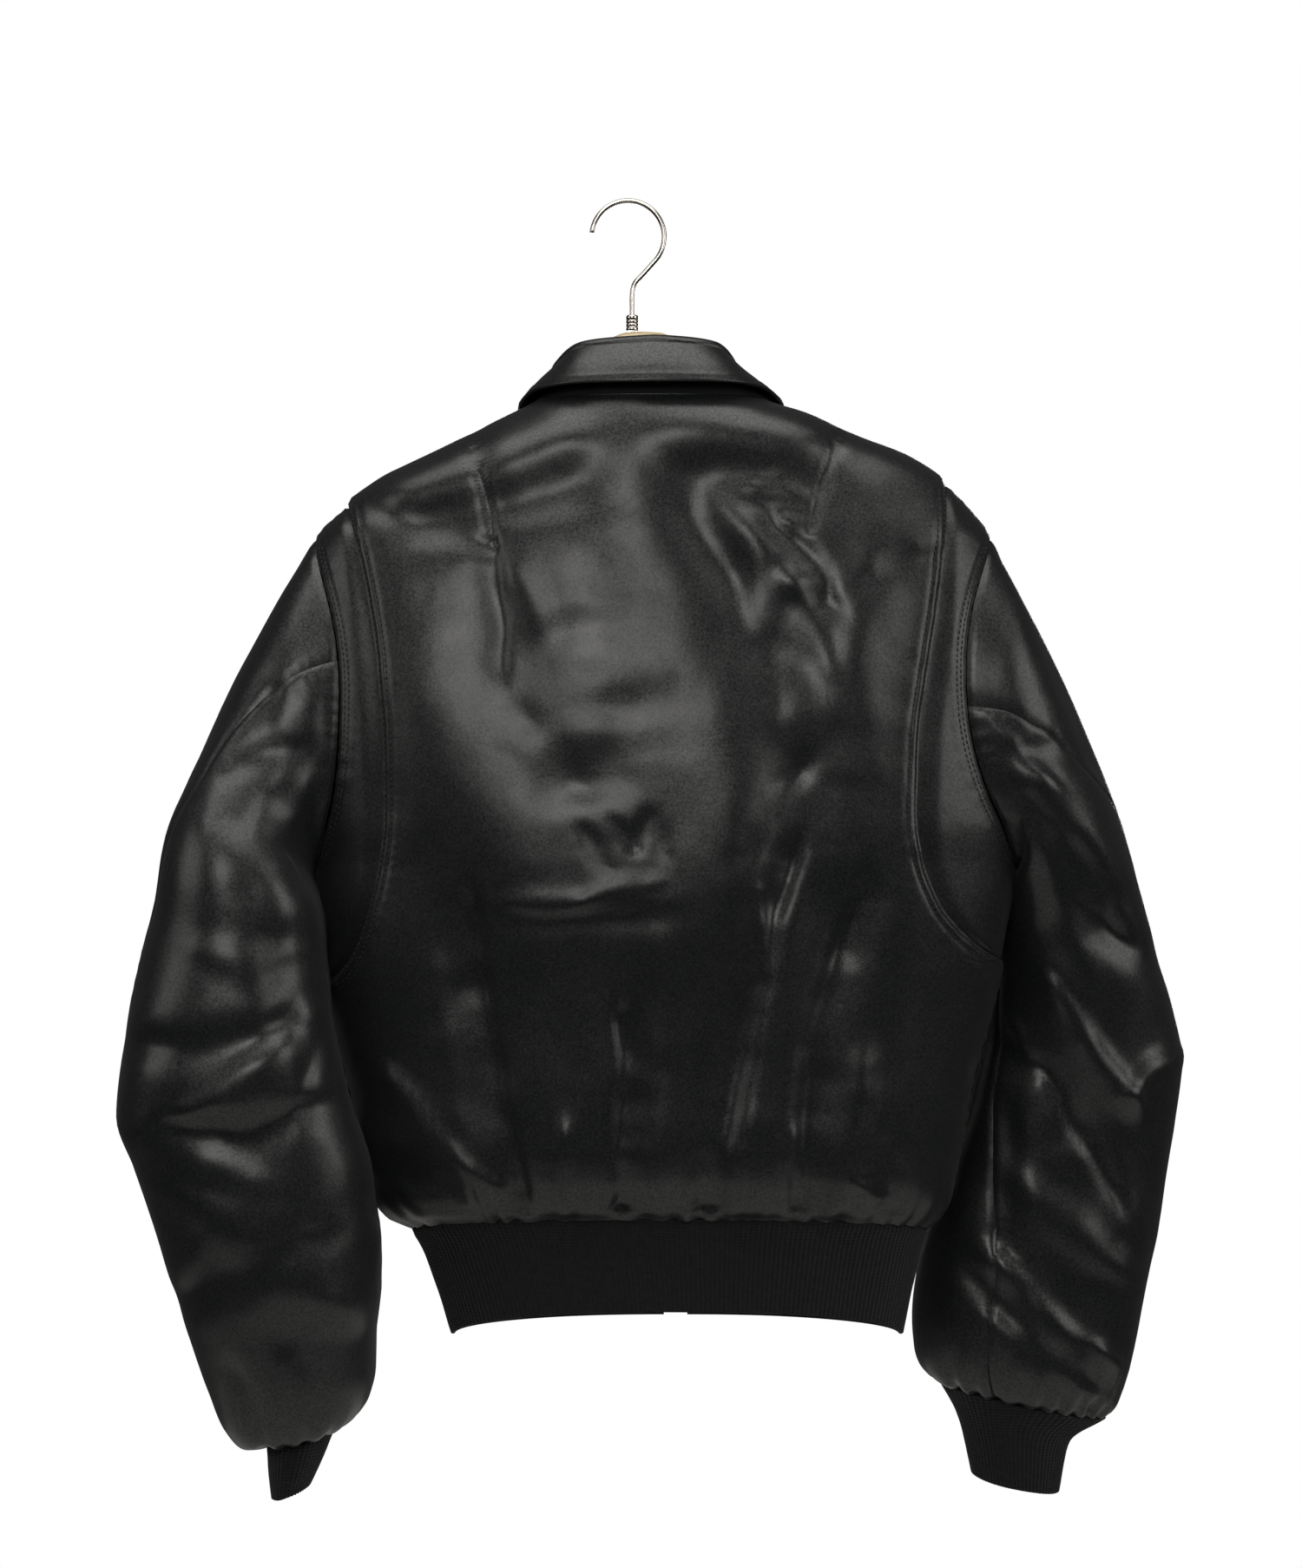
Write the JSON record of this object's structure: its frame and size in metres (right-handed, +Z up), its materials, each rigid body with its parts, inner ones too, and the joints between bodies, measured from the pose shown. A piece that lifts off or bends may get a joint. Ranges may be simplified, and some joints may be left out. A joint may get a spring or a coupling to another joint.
{
  "type": "bomber jacket on hanger",
  "caption": "Black satin flight jacket with rib hem and cuffs, action back and shirt collar, hanging on a coat hanger by its hook.",
  "frame": {"origin": "underside of the hook's crown, where a rail or a wall hook carries the hanger", "axes": "+Z up, +Y the way a wearer would face, +X the wearer's right, so the pictured back lies at -Y"},
  "size_m": [0.69, 0.2292, 0.8512],
  "materials": {
    "satin": "black nylon satin over thin wadding, soft sheen",
    "rib": "matte black rib knit",
    "zip": "black tape with dark metal teeth",
    "zip_metal": "blackened brass",
    "steel": "satin nickel, slightly warm",
    "wood": "pale varnished wood"
  },
  "bodies": {
    "jacket": {"back_panel": "satin", "gusset_left": "satin", "gusset_right": "satin", "front_left": "satin", "front_right": "satin", "sleeve_under_left": "satin", "sleeve_under_right": "satin", "sleeve_upper_left": "satin", "sleeve_upper_right": "satin", "collar": "satin", "cuff_left": "rib", "cuff_right": "rib", "hem_band": "rib", "zip": "zip", "zip_slider": "zip_metal", "hanger_hook": "steel", "hanger_ferrule": "steel", "hanger_body": "wood"},
    "pull_tab": {"zip_pull": "zip_metal"}
  },
  "joints": [
    {"name": "pull_tab_hinge", "type": "hinge", "parent": "jacket", "child": "pull_tab", "pos_m": [0.01883, 0.07262, -0.19647], "axis": [1, 0, 0], "range_deg": [0, 150]}
  ]
}
